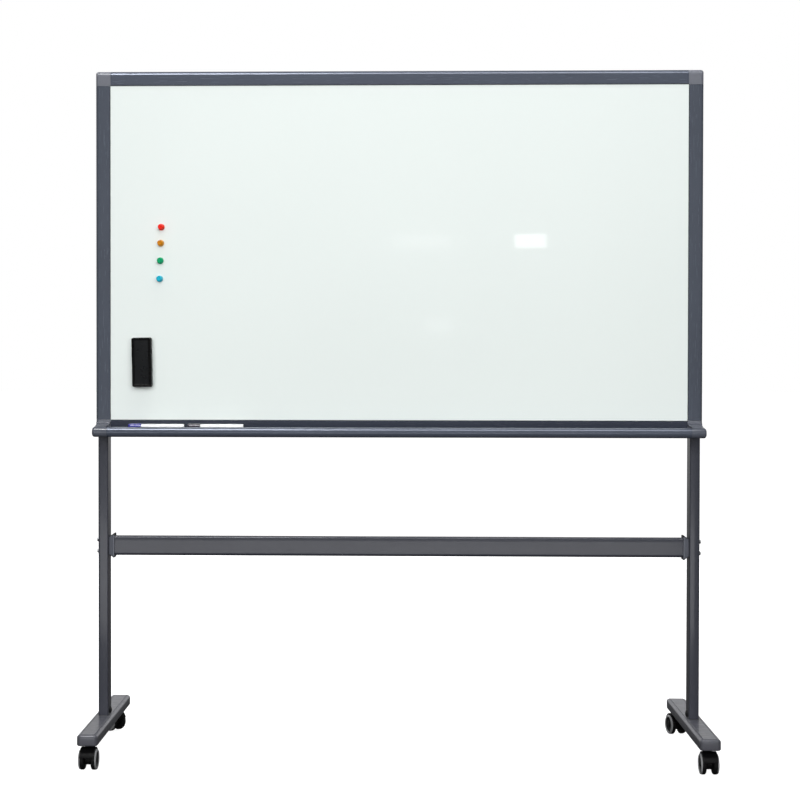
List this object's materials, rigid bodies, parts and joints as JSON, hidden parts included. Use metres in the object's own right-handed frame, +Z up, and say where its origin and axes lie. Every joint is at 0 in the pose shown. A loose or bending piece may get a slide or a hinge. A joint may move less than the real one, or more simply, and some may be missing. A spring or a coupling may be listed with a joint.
{
  "type": "rolling whiteboard",
  "caption": "Framed glass writing board with a pen tray, held between two posts on front-to-back feet with swivelling twin-wheel casters; magnets, eraser and markers in place.",
  "frame": {"origin": "on the floor, midway between the posts and between the ends of the feet", "axes": "+X to the right along the board, +Y from the writing face to the back, +Z up"},
  "size_m": [1.5469, 0.536, 1.696],
  "materials": {
    "frame_aluminium": "satin",
    "corner_plastic": "satin",
    "glass_face": "gloss",
    "backing": "matte",
    "stand_paint": "satin",
    "black_plastic": "matte",
    "zinc_steel": "satin",
    "caster_plastic": "satin",
    "caster_wheel": "matte",
    "magnet_red": "gloss",
    "magnet_orange": "gloss",
    "magnet_green": "gloss",
    "magnet_blue": "gloss",
    "eraser_shell": "satin",
    "eraser_felt": "matte",
    "marker_white": "gloss",
    "marker_blue_cap": "gloss",
    "marker_black_cap": "gloss"
  },
  "bodies": {
    "stand": {"top_rail": "frame_aluminium", "bottom_rail": "frame_aluminium", "left_rail": "frame_aluminium", "right_rail": "frame_aluminium", "pen_tray": "frame_aluminium", "corner_cap_left": "corner_plastic", "corner_cap_right": "corner_plastic", "tray_end_left": "corner_plastic", "tray_end_right": "corner_plastic", "bar_bracket_left": "corner_plastic", "bar_bracket_right": "corner_plastic", "glass_panel": "glass_face", "backing_panel": "backing", "post_left": "stand_paint", "post_right": "stand_paint", "cross_bar": "stand_paint", "foot_left": "stand_paint", "foot_right": "stand_paint", "post_cap_left": "black_plastic", "post_cap_right": "black_plastic", "base_screw_left": "black_plastic", "base_screw_right": "black_plastic", "bar_bolt_left_lower": "zinc_steel", "board_bolt_left_lower": "zinc_steel", "bar_bolt_left_upper": "zinc_steel", "board_bolt_left_upper": "zinc_steel", "bar_bolt_right_lower": "zinc_steel", "board_bolt_right_lower": "zinc_steel", "bar_bolt_right_upper": "zinc_steel", "board_bolt_right_upper": "zinc_steel", "caster_front_left_stem": "zinc_steel", "caster_front_right_stem": "zinc_steel", "caster_rear_left_stem": "zinc_steel", "caster_rear_right_stem": "zinc_steel"},
    "caster_front_left": {"caster_front_left_hood": "caster_plastic", "caster_front_left_axle": "zinc_steel"},
    "front_left_wheel_a": {"caster_front_left_wheel_a": "caster_wheel"},
    "front_left_wheel_b": {"caster_front_left_wheel_b": "caster_wheel"},
    "caster_front_right": {"caster_front_right_hood": "caster_plastic", "caster_front_right_axle": "zinc_steel"},
    "front_right_wheel_a": {"caster_front_right_wheel_a": "caster_wheel"},
    "front_right_wheel_b": {"caster_front_right_wheel_b": "caster_wheel"},
    "caster_rear_left": {"caster_rear_left_hood": "caster_plastic", "caster_rear_left_axle": "zinc_steel"},
    "rear_left_wheel_a": {"caster_rear_left_wheel_a": "caster_wheel"},
    "rear_left_wheel_b": {"caster_rear_left_wheel_b": "caster_wheel"},
    "caster_rear_right": {"caster_rear_right_hood": "caster_plastic", "caster_rear_right_axle": "zinc_steel"},
    "rear_right_wheel_a": {"caster_rear_right_wheel_a": "caster_wheel"},
    "rear_right_wheel_b": {"caster_rear_right_wheel_b": "caster_wheel"},
    "magnet_red": {"magnet_red": "magnet_red"},
    "magnet_orange": {"magnet_orange": "magnet_orange"},
    "magnet_green": {"magnet_green": "magnet_green"},
    "magnet_blue": {"magnet_blue": "magnet_blue"},
    "eraser": {"eraser_body": "eraser_shell", "eraser_pad": "eraser_felt"},
    "blue_marker": {"marker_blue_barrel": "marker_white"},
    "blue_marker_cap": {"marker_blue_cap": "marker_blue_cap"},
    "black_marker": {"marker_black_cap": "marker_black_cap"},
    "black_marker_barrel": {"marker_black_barrel": "marker_white"}
  },
  "joints": [
    {"name": "caster_front_left_swivel", "type": "hinge", "parent": "stand", "child": "caster_front_left", "pos_m": [-0.7375, -0.2185, 0.05], "axis": [0, 0, 1], "continuous": true},
    {"name": "caster_front_left_wheel_a_spin", "type": "hinge", "parent": "caster_front_left", "child": "front_left_wheel_a", "pos_m": [-0.73811, -0.23599, 0.025], "axis": [0.9994, -0.0349, 0], "continuous": true},
    {"name": "caster_front_left_wheel_b_spin", "type": "hinge", "parent": "caster_front_left", "child": "front_left_wheel_b", "pos_m": [-0.73811, -0.23599, 0.025], "axis": [0.9994, -0.0349, 0], "continuous": true},
    {"name": "caster_front_right_swivel", "type": "hinge", "parent": "stand", "child": "caster_front_right", "pos_m": [0.7375, -0.2185, 0.05], "axis": [0, 0, 1], "continuous": true},
    {"name": "caster_front_right_wheel_a_spin", "type": "hinge", "parent": "caster_front_right", "child": "front_right_wheel_a", "pos_m": [0.73781, -0.236, 0.025], "axis": [0.9998, 0.0175, 0], "continuous": true},
    {"name": "caster_front_right_wheel_b_spin", "type": "hinge", "parent": "caster_front_right", "child": "front_right_wheel_b", "pos_m": [0.73781, -0.236, 0.025], "axis": [0.9998, 0.0175, 0], "continuous": true},
    {"name": "caster_rear_left_swivel", "type": "hinge", "parent": "stand", "child": "caster_rear_left", "pos_m": [-0.7375, 0.2185, 0.05], "axis": [0, 0, 1], "continuous": true},
    {"name": "caster_rear_left_wheel_a_spin", "type": "hinge", "parent": "caster_rear_left", "child": "rear_left_wheel_a", "pos_m": [-0.75091, 0.22975, 0.025], "axis": [-0.6428, -0.766, 0], "continuous": true},
    {"name": "caster_rear_left_wheel_b_spin", "type": "hinge", "parent": "caster_rear_left", "child": "rear_left_wheel_b", "pos_m": [-0.75091, 0.22975, 0.025], "axis": [-0.6428, -0.766, 0], "continuous": true},
    {"name": "caster_rear_right_swivel", "type": "hinge", "parent": "stand", "child": "caster_rear_right", "pos_m": [0.7375, 0.2185, 0.05], "axis": [0, 0, 1], "continuous": true},
    {"name": "caster_rear_right_wheel_a_spin", "type": "hinge", "parent": "caster_rear_right", "child": "rear_right_wheel_a", "pos_m": [0.73327, 0.23548, 0.025], "axis": [-0.9703, -0.2419, 0], "continuous": true},
    {"name": "caster_rear_right_wheel_b_spin", "type": "hinge", "parent": "caster_rear_right", "child": "rear_right_wheel_b", "pos_m": [0.73327, 0.23548, 0.025], "axis": [-0.9703, -0.2419, 0], "continuous": true},
    {"name": "magnet_red_pull", "type": "slide", "parent": "stand", "child": "magnet_red", "axis": [0, -1, 0], "range_m": [0, 0.06]},
    {"name": "magnet_orange_pull", "type": "slide", "parent": "stand", "child": "magnet_orange", "axis": [0, -1, 0], "range_m": [0, 0.06]},
    {"name": "magnet_green_pull", "type": "slide", "parent": "stand", "child": "magnet_green", "axis": [0, -1, 0], "range_m": [0, 0.06]},
    {"name": "magnet_blue_pull", "type": "slide", "parent": "stand", "child": "magnet_blue", "axis": [0, -1, 0], "range_m": [0, 0.06]},
    {"name": "eraser_pull", "type": "slide", "parent": "stand", "child": "eraser", "axis": [0, -1, 0], "range_m": [0, 0.08]},
    {"name": "blue_marker_lift", "type": "slide", "parent": "stand", "child": "blue_marker", "axis": [0, 0, 1], "range_m": [0, 0.08]},
    {"name": "blue_marker_uncap", "type": "slide", "parent": "blue_marker", "child": "blue_marker_cap", "axis": [-1, 0, 0], "range_m": [0, 0.03]},
    {"name": "black_marker_lift", "type": "slide", "parent": "stand", "child": "black_marker", "axis": [0, 0, 1], "range_m": [0, 0.08]},
    {"name": "black_marker_uncap", "type": "slide", "parent": "black_marker", "child": "black_marker_barrel", "axis": [1, 0, 0], "range_m": [0, 0.03]}
  ]
}
